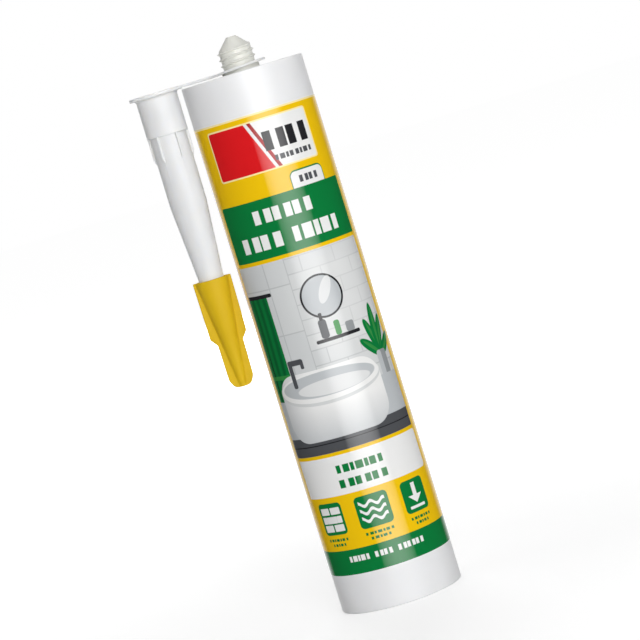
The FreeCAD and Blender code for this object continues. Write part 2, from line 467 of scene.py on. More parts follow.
class Graph:
    """The node tree of a material, a world or a lamp."""

    def __init__(self, owner: bpy.types.ID) -> None:
        """Turns on the owner's nodes and takes its tree."""
        owner.use_nodes = True
        self.tree = owner.node_tree

    def node(self, kind: str, settings: dict[str, object] | None = None,
             inputs: dict[str | int, object] | None = None) -> bpy.types.Node:
        """Adds a node.

        Args:
            kind: The node's type.
            settings: Its properties, set first.
            inputs: Its sockets by name or number, each with a value, a socket or a number.

        Returns:
            The new node.
        """
        node = self.tree.nodes.new(kind)
        for name, value in (settings or {}).items():
            setattr(node, name, value)
        for name, value in (inputs or {}).items():
            self.feed(node.inputs[name], value)
        return node

    def feed(self, socket: bpy.types.NodeSocket, value: object) -> None:
        """Links a socket to a value or another socket, or sets its number or colour.

        Args:
            socket: The socket that is fed.
            value: What it takes.
        """
        if isinstance(value, Value):
            self.tree.links.new(value.socket, socket)
        elif isinstance(value, bpy.types.NodeSocket):
            self.tree.links.new(value, socket)
        elif socket.type == "RGBA" and len(value) == 3:
            socket.default_value = (*value, 1.0)
        else:
            socket.default_value = value

    def ray(self, *kinds: str) -> Value:
        """A value that is 1 for rays of these kinds.

        Args:
            kinds: The kinds, such as Camera.

        Returns:
            The value.
        """
        path = self.node("ShaderNodeLightPath")
        found = [Value(self, path.outputs[f"Is {kind} Ray"]) for kind in kinds]
        seen = found[0]
        for other in found[1:]:
            seen = seen.math("MAXIMUM", other)
        return seen


class Paint(Graph):
    """A material that is made of nodes round one Principled shader."""

    def __init__(self, name: str, **constants: float) -> None:
        """Makes the material.

        Args:
            name: The material's name.
            constants: The shader's sockets that are the same all over, with underscores for spaces.
        """
        self.material = bpy.data.materials.new(name)
        super().__init__(self.material)
        self.shader = self.tree.nodes["Principled BSDF"]
        for socket, value in constants.items():
            self.shader.inputs[socket.replace("_", " ").title().replace("Ior", "IOR")].default_value = value
        self.place = self.node("ShaderNodeTexCoord").outputs["Object"]

    def millimetres(self) -> tuple[Value, Value, Value]:
        """The place on the piece along x, y and z, in millimetres."""
        scaled = self.node("ShaderNodeVectorMath", {"operation": "SCALE"}, {0: self.place, "Scale": 1000.0})
        parts = self.node("ShaderNodeSeparateXYZ", inputs={0: scaled.outputs[0]})
        return tuple(Value(self, output) for output in parts.outputs)

    def noise(self, per_metre: float, detail: float = 2.0, roughness: float = 0.5,
              stretch: Triple = (1.0, 1.0, 1.0)) -> Value:
        """Noise over the piece.

        Args:
            per_metre: The noise's scale.
            detail: How many finer layers it has.
            roughness: How strong these are.
            stretch: How much finer it is along each axis.

        Returns:
            The noise from 0 to 1.
        """
        mapping = self.node("ShaderNodeMapping", inputs={"Vector": self.place, "Scale": stretch})
        inputs = {"Vector": mapping.outputs[0], "Scale": per_metre, "Detail": detail, "Roughness": roughness}
        return Value(self, self.node("ShaderNodeTexNoise", inputs=inputs).outputs["Fac"])

    def mixed(self, first: object, second: object, share: Value) -> bpy.types.NodeSocket:
        """Mixes two colours.

        Args:
            first: The colour where the share is 0.
            second: The colour where the share is 1.
            share: The share of the second.

        Returns:
            The mixed colour.
        """
        node = self.node("ShaderNodeMix", {"data_type": "RGBA"})
        for name, value in (("Factor_Float", share), ("A_Color", first), ("B_Color", second)):
            self.feed(next(socket for socket in node.inputs if socket.identifier == name), value)
        return next(socket for socket in node.outputs if socket.identifier == "Result_Color")

    def bumped(self, height: Value, distance: float, strength: float = 1.0) -> None:
        """Feeds the shader's normal from a height.

        Args:
            height: The height from 0 to 1.
            distance: How far 1 stands out, in metres.
            strength: How much of it shows.
        """
        bump = self.node("ShaderNodeBump", inputs={"Strength": strength, "Distance": distance, "Height": height})
        self.feed(self.shader.inputs["Normal"], bump.outputs[0])

    def finished(self, colour: object, roughness: Value) -> bpy.types.Material:
        """Feeds the shader's colour and roughness.

        Args:
            colour: The base colour.
            roughness: The roughness.

        Returns:
            The finished material.
        """
        self.feed(self.shader.inputs["Base Color"], colour)
        self.feed(self.shader.inputs["Roughness"], roughness)
        return self.material


# Finishes

@dataclass(frozen=True)
class MouldedPlastic:
    """Moulded polyethylene with a faint flow pattern and fine surface grain."""

    name: str
    light: Colour
    dark: Colour
    roughness: float
    roughness_spread: float = 0.1
    grain_per_metre: float = 2600.0
    flow_per_metre: float = 60.0
    grain_height: float = 0.000012
    subsurface: float = 0.0
    subsurface_scale: float = 0.003
    gloss: float = 0.5
    # An upper colour that takes over above a height; on the barrel's neck it is partly the thin plastic's own warmer
    # tone and partly painted shade.
    upper: Colour | None = None
    upper_start: float = 0.0

    def material(self) -> bpy.types.Material:
        """The finish as a material."""
        paint = Paint(
            self.name, subsurface_weight=self.subsurface, subsurface_scale=self.subsurface_scale,
            specular_ior_level=self.gloss,
        )
        paint.shader.inputs["Subsurface Radius"].default_value = (1.0, 0.9, 0.75)
        grain = paint.noise(self.grain_per_metre, detail=3.0)
        flow = paint.noise(self.flow_per_metre, detail=2.0, stretch=(1.0, 1.0, 0.35))
        colour = paint.mixed(self.light, self.dark, flow.above(0.5, 0.5) * 0.6 + grain * 0.25)
        # Above a height the colour turns to the upper colour: partly the plastic's own tone, partly painted shade.
        if self.upper:
            height = paint.millimetres()[2]
            colour = paint.mixed(colour, self.upper, height.above(self.upper_start, 0.4))
        rough = flow * self.roughness_spread + grain * (self.roughness_spread / 2) + (
            self.roughness - self.roughness_spread * 0.75)
        paint.bumped(grain * 0.6 + flow * 4.0, self.grain_height)
        return paint.finished(colour, rough)


# The printed film

@dataclass(frozen=True)
class Field:
    """A box of the print, by its sides round the tube's girth and its ends up its height."""

    left: float
    right: float
    bottom: float
    top: float
    rounding: float = 0.0

    def distance(self, girth: Value, height: Value) -> Value:
        """How far a place is outside the box.

        Args:
            girth: The place round the tube, in millimetres.
            height: The place up the tube, in millimetres.

        Returns:
            The distance in millimetres, below zero inside.
        """
        off_side = self.overhang(girth, self.left, self.right)
        off_end = self.overhang(height, self.bottom, self.top)
        if not self.rounding:
            return off_side.math("MAXIMUM", off_end)
        side = off_side.math("MAXIMUM", 0.0)
        end = off_end.math("MAXIMUM", 0.0)
        return (side * side).math("ADD", end * end).math("SQRT") - self.rounding

    def overhang(self, place: Value, low: float, high: float) -> Value:
        """How far a place is past the box's straight core along one way."""
        core = (high - low) / 2 - self.rounding
        return abs(place - (low + high) / 2) - core


DEGREE_OF_GIRTH = 24.84 * math.pi / 180
PRINT_BLUR = 0.14


class Press:
    """Prints fields of colour on the film, one over the other."""

    def __init__(self, paint: Paint, ground: Colour) -> None:
        """Starts a print.

        Args:
            paint: The material that is printed.
            ground: The colour under all fields.
        """
        self.paint = paint
        across, deep, self.height = paint.millimetres()
        self.girth = across.math("ARCTAN2", -deep) * (DEGREE_OF_GIRTH * 180 / math.pi)
        self.colour: object = ground

    def mask(self, distance: Value, blur: float = PRINT_BLUR) -> Value:
        """A mask that is 1 inside a shape, from the distance outside it."""
        return (-distance).above(0.0, blur)

    def box(self, left: float, right: float, bottom: float, top: float, rounding: float = 0.0) -> Value:
        """The mask of a box.

        Args:
            left: Its left side, in degrees round the tube from the front.
            right: Its right side.
            bottom: Its lower end, in millimetres up the tube.
            top: Its upper end.
            rounding: The radius of its corners.

        Returns:
            The mask.
        """
        field_ = Field(left * DEGREE_OF_GIRTH, right * DEGREE_OF_GIRTH, bottom, top, rounding)
        return self.mask(field_.distance(self.girth, self.height))

    def oval(self, centre: Point, radii: Point, turn: float = 0.0) -> Value:
        """The mask of an oval.

        Args:
            centre: Its middle, in degrees round the tube and millimetres up it.
            radii: Its half width and half height, in millimetres.
            turn: How far it is turned, in degrees.

        Returns:
            The mask.
        """
        return self.mask(self.oval_distance(centre, radii, turn))

    def oval_distance(self, centre: Point, radii: Point, turn: float = 0.0) -> Value:
        """How far a place is outside an oval, in millimetres."""
        side = self.girth - centre[0] * DEGREE_OF_GIRTH
        end = self.height - centre[1]
        if turn:
            cosine, sine = math.cos(math.radians(turn)), math.sin(math.radians(turn))
            side, end = side * cosine + end * sine, end * cosine - side * sine
        side = side / radii[0]
        end = end / radii[1]
        return ((side * side + end * end).math("SQRT") - 1.0) * min(radii)

    def ink(self, colour: object, mask: Value) -> None:
        """Prints a colour where a mask is 1."""
        self.colour = self.paint.mixed(self.colour, colour, mask)

    def blocks(self, colour: Colour, left: float, right: float, bottom: float, top: float, count: int,
               gap: float = 0.24) -> None:
        """Prints a row of plain blocks of uneven width, which stands for a line of print.

        Args:
            colour: The blocks' colour.
            left: The row's left end, in degrees round the tube from the front.
            right: Its right end.
            bottom: Its lower edge, in millimetres up the tube.
            top: Its upper edge.
            count: How many blocks it has.
            gap: The gap's share of the distance from block to block.
        """
        pitch = (right - left) * DEGREE_OF_GIRTH / count
        row = self.box(left, right, bottom, top, min(0.3, (top - bottom) / 3))
        along = (self.girth - left * DEGREE_OF_GIRTH) / pitch
        swings = max(1, round(count * 0.43))
        phase = (along + (along * (math.tau * swings / count)).math("SINE") * 0.17).math("FRACT")
        comb = (0.5 - abs(phase - 0.5)).above(gap / 2, PRINT_BLUR / pitch)
        self.ink(colour, row * comb)


@dataclass(frozen=True)
class Inks:
    """The colours of the print."""

    yellow: Colour = tint(242, 196, 6)
    green: Colour = tint(2, 121, 57)
    deep_green: Colour = tint(0, 92, 46)
    leaf: Colour = tint(58, 146, 70)
    red: Colour = tint(220, 24, 30)
    dark_red: Colour = tint(170, 16, 24)
    white: Colour = tint(238, 238, 237)
    cream: Colour = tint(255, 236, 170)
    black: Colour = tint(34, 34, 38)
    dark_grey: Colour = tint(78, 80, 84)
    grey: Colour = tint(150, 154, 156)
    tile: Colour = tint(212, 214, 214)
    joint: Colour = tint(186, 189, 190)
    shade: Colour = tint(190, 194, 197)


@dataclass(frozen=True)
class PrintedFilm:
    """Glossy film printed with a generic design: blank plates, bars for lines of print, a plain washroom picture."""

    name: str = "printed_film"
    inks: Inks = field(default_factory=Inks)
    top: float = 200.1
    bottom: float = 15.9
    coat_roughness: float = 0.05

    def material(self) -> bpy.types.Material:
        """The finish as a material."""
        paint = Paint(self.name, coat_weight=1.0, coat_roughness=self.coat_roughness, coat_ior=1.5,
                      specular_ior_level=0.0)
        press = Press(paint, self.inks.yellow)
        self.print_back(press)
        self.print_plate(press)
        self.print_title(press)
        self.print_picture(press)
        self.print_notes(press)
        self.print_foot(press)
        wear = paint.noise(45.0, detail=3.0)
        speckle = paint.noise(5200.0, detail=1.0)
        colour = paint.mixed(press.colour, tint(90, 90, 84), wear * 0.02 + speckle * 0.03)
        ripple = paint.noise(22.0, detail=1.0, stretch=(1.0, 1.0, 0.25))
        paint.bumped(ripple * 3.0 + speckle * 0.02, 0.00005)
        return paint.finished(colour, wear * 0.12 + 0.34)

    def print_back(self, press: Press) -> None:
        """Prints the plain panel on the far side."""
        inks = self.inks
        far = abs(press.girth) / DEGREE_OF_GIRTH
        side = far.above(104.0, PRINT_BLUR / DEGREE_OF_GIRTH)
        press.ink(inks.white, side * press.box(-200, 200, 44, 186))
        press.ink(inks.green, side * press.box(-200, 200, 168, 186))
        lines = (press.height / 4.6).math("FRACT").above(0.72, 0.06)
        words = (press.girth / 9.7 + (press.height / 4.6).math("FLOOR") * 0.37 + 50.0).math("FRACT").above(0.12, 0.02)
        text = far.above(112.0, 0.3) * press.box(-200, 200, 78.2, 158) * lines * words
        press.ink(inks.grey, text)

    def print_plate(self, press: Press) -> None:
        """Prints the plate at the top and the tab under it."""
        inks = self.inks
        press.ink(inks.cream, press.box(-190, 190, self.top - 0.7, self.top + 1))
        press.ink(inks.cream, press.box(-53.6, 49.8, 177.1, 197.5, 1.2))
        plate = press.box(-52.2, 48.4, 177.7, 196.9, 0.9)
        press.ink(inks.white, plate)
        slant = press.girth + press.height * 0.4
        press.ink(inks.red, plate * press.mask(slant - 73.0))
        press.ink(inks.dark_red, plate * press.mask(abs(slant - 75.1) - 0.75))
        press.blocks(inks.black, -0.5, 44.5, 184.6, 192.2, 4)
        press.blocks(inks.dark_grey, 6.0, 44.0, 180.2, 182.3, 8, 0.3)
        press.ink(inks.green, press.box(13.5, 49.4, 160.0, 174.6, 2.6))
        press.ink(inks.white, press.box(14.3, 48.6, 160.0, 174.0, 2.1))
        press.blocks(inks.dark_grey, 21.5, 41.5, 169.4, 172.1, 4)

    def print_title(self, press: Press) -> None:
        """Prints the title block."""
        inks = self.inks
        press.ink(inks.green, press.box(-69.0, 69.5, 144.6, 167.6, 1.4))
        press.ink(inks.green, press.box(-30.0, 69.5, 144.6, 167.6))
        press.ink(inks.green, press.box(-69.0, 69.5, 144.6, 150.0))
        press.blocks(inks.white, -30.5, 26.8, 158.2, 163.6, 6)
        press.blocks(inks.white, -51.7, -8.0, 148.0, 153.9, 4)
        press.blocks(inks.white, 1.0, 48.7, 148.0, 153.9, 5)

    def print_picture(self, press: Press) -> None:
        """Prints the picture of a tiled washroom: two sizes of tile, a towel, a mirror, a shelf, a plant and a tub."""
        inks = self.inks
        press.ink(inks.tile, press.box(-71.6, 68.4, 64.9, 143.1))
        self.print_tiles(press, press.box(-71.6, -14.0, 64.9, 143.1), 15.5, 19.0, 0.0)
        self.print_tiles(press, press.box(-14.0, 68.4, 64.9, 143.1), 14.0, 6.2, 0.5)
        press.ink(inks.joint, press.box(-14.6, -13.8, 96.0, 143.1))
        glow = press.mask(press.oval_distance((34.0, 126.0), (16.0, 24.0)), 18.0)
        press.ink(inks.white, press.box(-71.6, 68.4, 64.9, 143.1) * glow * 0.45)
        self.print_towel(press)
        press.ink(inks.black, press.oval((10.0, 125.0), (8.7, 8.7)))
        press.ink(inks.shade, press.oval((10.0, 125.0), (7.9, 7.9)))
        press.ink(inks.white, press.oval((14.0, 127.0), (2.2, 5.6), -28.0) * 0.6)
        self.print_shelf(press)
        self.print_tub(press)
        press.ink(inks.yellow, press.box(-75, 72, 63.5, 64.9))

    def print_tiles(self, press: Press, wall: Value, width: float, height: float, stagger: float) -> None:
        """Prints the joints of a tiled wall.

        Args:
            press: The press.
            wall: The mask of the wall.
            width: The tiles' width in millimetres.
            height: Their height.
            stagger: How far each course is moved, as a share of the width.
        """
        course = press.height / height
        row = course.math("FLOOR")
        along = press.girth / width + row.math("MODULO", 2.0) * stagger + 20.0
        upright = abs(along.math("FRACT") - 0.5).above(0.5 - 0.22 / width, 0.22 / width)
        level = abs(course.math("FRACT") - 0.5).above(0.5 - 0.22 / height, 0.22 / height)
        number = (along.math("FLOOR") * 12.99 + row * 78.23).math("SINE") * 437.5
        press.ink(self.inks.shade, wall * number.math("FRACT") * 0.3)
        press.ink(self.inks.joint, wall * upright.math("MAXIMUM", level))

    def print_towel(self, press: Press) -> None:
        """Prints the towel on its rail."""
        inks = self.inks
        fold = (press.girth * 1.75 + (press.height * 0.09).math("SINE")).math("SINE") * 0.5 + 0.5
        cloth = press.paint.mixed(inks.green, inks.deep_green, fold)
        press.ink(cloth, press.box(-71.6, -42.0, 93.5, 130.6, 0.8))
        press.ink(cloth, press.box(-71.6, -52.0, 86.5, 110.0, 0.8))
        press.ink(inks.leaf, press.box(-71.6, -42.0, 97.0, 98.6) * 0.8)
        press.ink(inks.black, press.box(-71.6, -36.0, 130.0, 131.5, 0.6))

    def print_shelf(self, press: Press) -> None:
        """Prints the shelf with a bottle and a cup, and the plant under it."""
        inks = self.inks
        press.ink(inks.black, press.box(-7.0, 36.0, 107.2, 108.6, 0.5))
        press.ink(inks.dark_grey, press.box(-1.0, 6.5, 108.6, 116.2, 1.2))
        press.ink(inks.black, press.box(1.2, 4.4, 115.8, 118.8, 0.4))
        press.ink(inks.leaf, press.box(12.5, 18.0, 108.6, 114.4, 0.8))
        press.ink(inks.grey, press.box(23.0, 31.5, 108.6, 112.6, 0.8))
        for off_side, height, long, turn in (
            (49.0, 103.0, 8.6, 20.0), (58.5, 103.5, 8.2, -24.0), (54.0, 107.0, 9.4, -3.0), (43.5, 99.5, 6.4, 48.0),
            (63.5, 99.0, 6.4, -50.0),
        ):
            press.ink(inks.green, press.oval((off_side, height), (2.0, long), turn))
            press.ink(inks.leaf, press.oval((off_side + 0.8, height), (0.7, long * 0.8), turn) * 0.8)
        press.ink(inks.grey, press.box(47.0, 60.5, 86.5, 97.5, 1.2))
        press.ink(inks.shade, press.box(47.0, 53.0, 86.5, 97.5, 1.2))

    def print_tub(self, press: Press) -> None:
        """Prints the tub at the foot of the picture."""
        inks = self.inks
        press.ink(inks.shade, press.box(-71.6, 68.4, 64.9, 88.0))
        press.ink(inks.dark_grey, press.box(-71.6, 68.4, 64.9, 72.5))
        press.ink(inks.black, press.box(-71.6, 68.4, 68.6, 69.0))
        tub = press.box(-62.0, 44.0, 70.2, 98.0, 9.0)
        press.ink(inks.white, tub)
        press.ink(inks.shade, tub * press.mask(press.height - 77.0, 14.0) * 0.8)
        press.ink(inks.shade, tub * press.mask(press.girth + 20.0, 16.0) * 0.6)
        press.ink(inks.tile, press.oval((-9.0, 90.5), (23.0, 6.6)))
        press.ink(inks.white, press.oval((-9.0, 91.4), (22.9, 6.2)))
        press.ink(inks.shade, press.oval((-9.0, 92.0), (20.8, 4.9)))
        press.ink(inks.white, press.oval((-3.0, 90.6), (15.5, 3.1)) * 0.7)
        press.ink(inks.dark_grey, press.box(-41.5, -37.0, 92.5, 103.5, 0.7))
        press.ink(inks.dark_grey, press.box(-41.5, -25.0, 101.5, 103.7, 0.9))
        press.ink(inks.dark_grey, press.box(-28.4, -25.0, 99.6, 103.0, 0.5))

    def print_notes(self, press: Press) -> None:
        """Prints the white block and the three signs below it."""
        inks = self.inks
        press.ink(inks.white, press.box(-70.0, 69.4, 47.9, 63.5, 1.6))
        press.ink(inks.white, press.box(-70.0, 40.0, 47.9, 63.5))
        press.blocks(inks.green, -25.2, 20.1, 56.4, 59.6, 7)
        press.blocks(inks.green, -26.2, 21.1, 50.4, 53.7, 6)
        for left, right in ((-59.9, -31.4), (-17.9, 13.5), (27.0, 55.2)):
            press.ink(inks.green, press.box(left, right, 32.6, 45.6, 1.8))
            press.blocks(inks.green, left + 2.0, right - 2.0, 29.9, 31.0, 7, 0.3)
            press.blocks(inks.green, left + 6.0, right - 6.0, 27.9, 29.0, 5, 0.3)
        for low, offsets in ((40.9, (-7.0, 7.0)), (37.3, (-12.4, 0.0, 12.4)), (33.9, (-7.0, 7.0))):
            for offset in offsets:
                left, right = max(-57.4, -45.65 + offset - 6.2), min(-33.9, -45.65 + offset + 6.2)
                press.ink(inks.white, press.box(left, right, low, low + 2.8, 0.3))
        ripple = (press.girth * (math.tau / 5.2)).math("SINE") * 0.8 + press.height
        for level in (42.2, 39.1, 36.0):
            press.ink(inks.white, press.mask(abs(ripple - level) - 0.65) * press.box(-14.6, 10.2, 33.5, 44.8))
        across = abs(press.girth - 41.1 * DEGREE_OF_GIRTH)
        press.ink(inks.white, press.mask(across - 1.0) * press.box(30.0, 52.0, 39.0, 44.2))
        head = press.mask(across * 0.9 - press.height + 36.1) * press.box(30.0, 52.0, 36.0, 39.3)
        press.ink(inks.white, head)
        press.ink(inks.white, press.box(32.0, 50.2, 34.1, 35.2, 0.3))

    def print_foot(self, press: Press) -> None:
        """Prints the band at the foot."""
        inks = self.inks
        press.ink(inks.green, press.box(-190, 190, self.bottom - 1, 26.0))
        for left, right, count in ((-39.2, -18.0, 5), (-13.0, 4.0, 4), (9.0, 35.6, 6)):
            press.blocks(inks.white, left, right, 20.9, 23.2, count)


# Sub-assemblies

@dataclass
class Part:
    """What every sub-assembly shares: its pieces are scaled, smoothed, dressed and put on their body."""

    smooth_angle: float = 32.0

    def deliver(self, piece: bpy.types.Object, material: bpy.types.Material, body: Body, slot: Slot,
                nodes: Iterable[str], matrix: Matrix | None = None) -> bpy.types.Object:
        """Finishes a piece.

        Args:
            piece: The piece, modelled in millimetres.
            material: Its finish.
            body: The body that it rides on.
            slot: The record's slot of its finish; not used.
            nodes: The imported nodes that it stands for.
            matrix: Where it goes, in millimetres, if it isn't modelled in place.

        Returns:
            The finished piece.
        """
        placed(piece, Matrix.Scale(METRES_PER_MILLIMETRE, 4) @ (matrix or Matrix.Identity(4)))
        bpy.ops.object.shade_smooth_by_angle(angle=math.radians(self.smooth_angle))
        piece.data.materials.clear()
        piece.data.materials.append(material)
        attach(piece, body.value)
        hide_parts(*nodes)
        LOG.info("%s: %d faces on %s", piece.name, len(piece.data.polygons), body.value)
        return piece


@dataclass
class Barrel(Part):
    """The tube with its closed head, collar and sealed, threaded neck."""

    length: float = 217.0
    radius: float = 24.7
    bore: float = 23.45
    head: float = 1.9
    collar: float = 7.65
    collar_height: float = 1.7
    neck: float = 6.45
    neck_bore: float = 4.9
    neck_straight: float = 9.55
    neck_height: float = 14.25
    tip: float = 1.95
    tip_bore: float = 0.9
    tip_wall: float = 1.5
    crest: float = 7.17
    thread_base: float = 2.5
    thread_sink: float = 0.3
    pitch: float = 2.4
    turns: int = 3
    segments: int = 160

    def build(self) -> bpy.types.Object:
        """Models the barrel."""
        top = self.length
        barrel = turned("barrel_shell", [
            Corner(self.tip_bore, top + self.neck_height - self.tip_wall),
            Corner(self.neck_bore, top + self.neck_straight - self.tip_wall / 2, 0.6),
            Corner(self.neck_bore, top - self.head, 0.4),
            Corner(self.bore, top - self.head, 0.8),
            Corner(self.bore, 0.0, 0.3),
            Corner(self.radius, 0.0, 0.4),
            Corner(self.radius, top, 0.45),
            Corner(self.collar, top, 0.3),
            Corner(self.collar, top + self.collar_height, 0.35),
            Corner(self.neck, top + self.collar_height, 0.3),
            Corner(self.neck, top + self.neck_straight, 1.6),
            Corner(self.tip, top + self.neck_height, 0.3),
            Corner(self.tip * 0.4, top + self.neck_height),
        ], self.segments)
        thread = Thread(self.neck - self.thread_sink, self.crest, top + self.thread_base, self.pitch, self.turns)
        fused(barrel, thread.build("neck_thread"))
        # The neck above the head is tinted darker and warmer: partly the thin natural plastic's own tone, partly
        # painted shade.
        finish = MouldedPlastic(
            "white_plastic", tint(237, 237, 238), tint(230, 231, 232), roughness=0.36, subsurface=0.1, gloss=0.4,
            upper=tint(226, 226, 219), upper_start=top + 0.1)
        return self.deliver(barrel, finish.material(), Body.BARREL, Slot.WHITE, ["cartridge_barrel"])


@dataclass
class Film(Part):
    """The printed film, wrapped once round the tube with its end lapped over its start at the back."""

    inside: float = 24.72
    thickness: float = 0.12
    bottom: float = 15.9
    top: float = 200.1
    single_degrees: float = 354.0
    rise_degrees: float = 6.0
    lap_degrees: float = 9.0
    lap_gap: float = 0.015
    step_degrees: float = 1.5

    def build(self) -> bpy.types.Object:
        """Models the film."""
        middle = (self.top + self.bottom) / 2
        film = added(
            "film_wrap", bpy.ops.mesh.primitive_plane_add, size=1,
            location=(0, self.inside + self.thickness / 2, middle), rotation=(0, math.radians(90), 0),
        )
        with Bench(film) as bench:
            bench.resize((1, self.thickness, self.top - self.bottom), (0, self.inside + self.thickness / 2, middle))
            bench.spin(math.radians(self.single_degrees), round(self.single_degrees / self.step_degrees))
            rise_steps = round(self.rise_degrees / self.step_degrees)
            lift = (self.inside + self.thickness + self.lap_gap) / self.inside
            for _ in range(rise_steps):
                bench.spin(math.radians(self.step_degrees), 1)
                factor = lift ** (1 / rise_steps)
                bench.resize((factor, factor, 1), (0, 0, middle))
            bench.spin(math.radians(self.lap_degrees), round(self.lap_degrees / self.step_degrees))
            bench.weld()
        # The white tube under the film, not the film's ink, throws light back on the white nozzle.
        film.visible_diffuse = False
        film.visible_shadow = False
        return self.deliver(film, PrintedFilm().material(), Body.BARREL, Slot.FILM, ["label_wrap"])


@dataclass
class Filling(Part):
    """The piston and the paste between it and the sealed neck."""

    bore: float = 23.45
    recess: float = 9.0
    length: float = 20.0
    lip: float = 23.35
    relief: float = 0.9
    wall: float = 1.5
    floor: float = 2.0
    lip_height: float = 3.0
    chamfer: float = 1.6
    paste_gap: float = 0.1
    paste_clearance: float = 0.05
    head_underside: float = 215.1
    neck_bore: float = 4.9
    neck_end: float = 225.05
    stroke: float = 185.8
    segments: int = 128

    def build_piston(self) -> bpy.types.Object:
        """Models the piston."""
        front = self.recess + self.length
        waist = self.lip - self.relief
        inside = waist - self.wall
        piston = turned("push_piston", [
            Corner(inside * 0.32, front - self.floor - 0.7),
            Corner(inside * 0.36, front - self.floor, 0.3),
            Corner(inside, front - self.floor, 1.2),
            Corner(inside, self.recess, 0.4),
            Corner(self.lip, self.recess, 0.4),
            Corner(self.lip, self.recess + self.lip_height, 0.4),
            Corner(waist, self.recess + self.lip_height + self.relief, 0.4),
            Corner(waist, front - self.chamfer - self.lip_height - self.relief, 0.4),
            Corner(self.lip, front - self.chamfer - self.lip_height, 0.4),
            Corner(self.lip, front - self.chamfer, 0.5),
            Corner(self.lip - self.chamfer, front, 0.5),
            Corner(self.lip - 5.0, front),
        ], self.segments)
        finish = MouldedPlastic(
            "piston_plastic", tint(236, 235, 230), tint(222, 221, 216), roughness=0.48, grain_per_metre=1800.0)
        return self.deliver(piston, finish.material(), Body.PISTON, Slot.PISTON, ["piston"])

    def build_paste(self) -> bpy.types.Object:
        """Models the paste, which in the real tube shortens as the piston moves."""
        low = self.recess + self.length + self.paste_gap
        high = self.head_underside - self.paste_clearance
        wall = self.bore - self.paste_clearance
        neck = self.neck_bore - self.paste_clearance
        paste = turned("paste_fill", [
            Corner(wall - 1.0, low),
            Corner(wall, low, 0.4),
            Corner(wall, high, 0.9),
            Corner(neck, high, 0.4),
            Corner(neck, self.neck_end, 0.3),
            Corner(neck - 1.0, self.neck_end),
        ], self.segments)
        finish = MouldedPlastic(
            "sealant_paste", tint(243, 242, 238), tint(234, 233, 229), roughness=0.55, grain_per_metre=700.0,
            flow_per_metre=90.0, grain_height=0.00006)
        piece = self.deliver(paste, finish.material(), Body.BARREL, Slot.PASTE, ["sealant"])
        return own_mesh(piece)


@dataclass
class Hanging(Part):
    """Where the stored nozzle hangs: it is drawn tip up along its own axis and turned tip down beside the tube."""

    offset: float = 34.9
    height: float = 218.88
    tilt: float = 0.4

    def matrix(self) -> Matrix:
        """The turn and move that hang a piece, in millimetres."""
        half = math.radians(self.tilt / 2)
        turn = Matrix.Rotation(math.pi, 4, Vector((math.cos(half), 0, -math.sin(half))))
        return Matrix.Translation((-self.offset, 0, self.height)) @ turn


